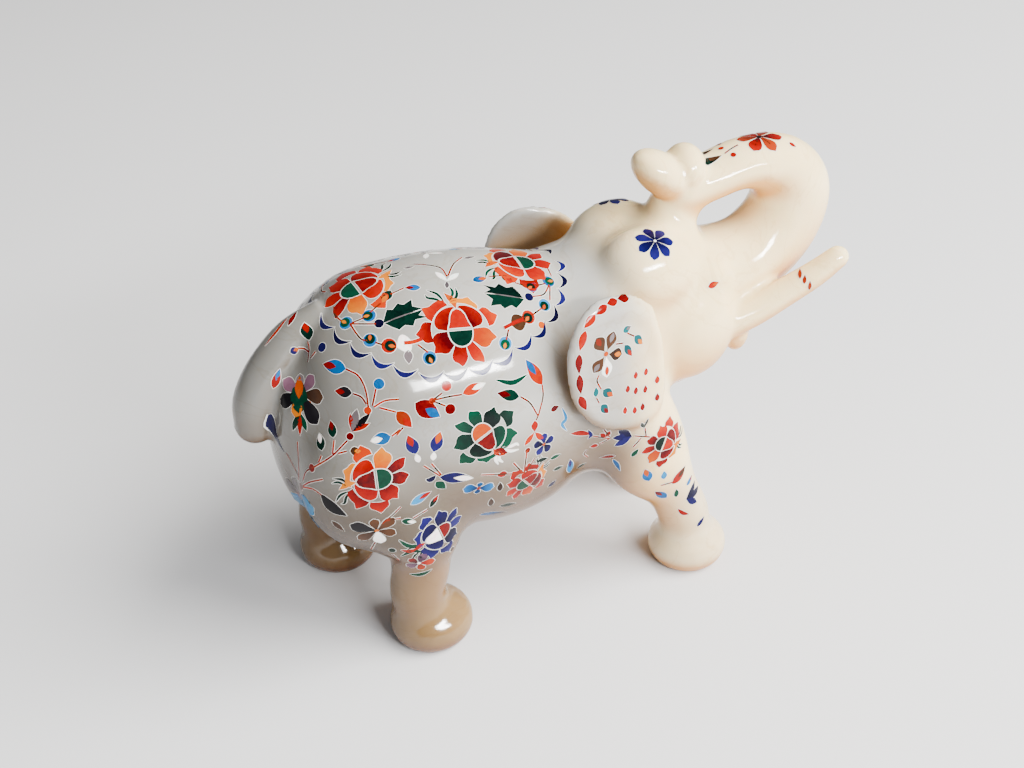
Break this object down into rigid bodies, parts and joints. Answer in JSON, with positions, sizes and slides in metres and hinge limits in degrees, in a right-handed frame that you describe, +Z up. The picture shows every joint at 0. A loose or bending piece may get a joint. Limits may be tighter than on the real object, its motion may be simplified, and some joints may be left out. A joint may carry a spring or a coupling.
{
  "type": "marble inlay elephant statue",
  "caption": "Standing marble elephant statue, trunk raised and curled back over the head, polished, with floral stone inlay.",
  "frame": {"origin": "middle of the bounding box, on the ground plane under the four soles", "axes": "+X forwards, the way the elephant walks; +Y to its left; +Z up"},
  "size_m": [0.3084, 0.1204, 0.2241],
  "materials": {
    "white_marble": "polished"
  },
  "bodies": {
    "root": {"elephant": "white_marble"}
  },
  "joints": []
}
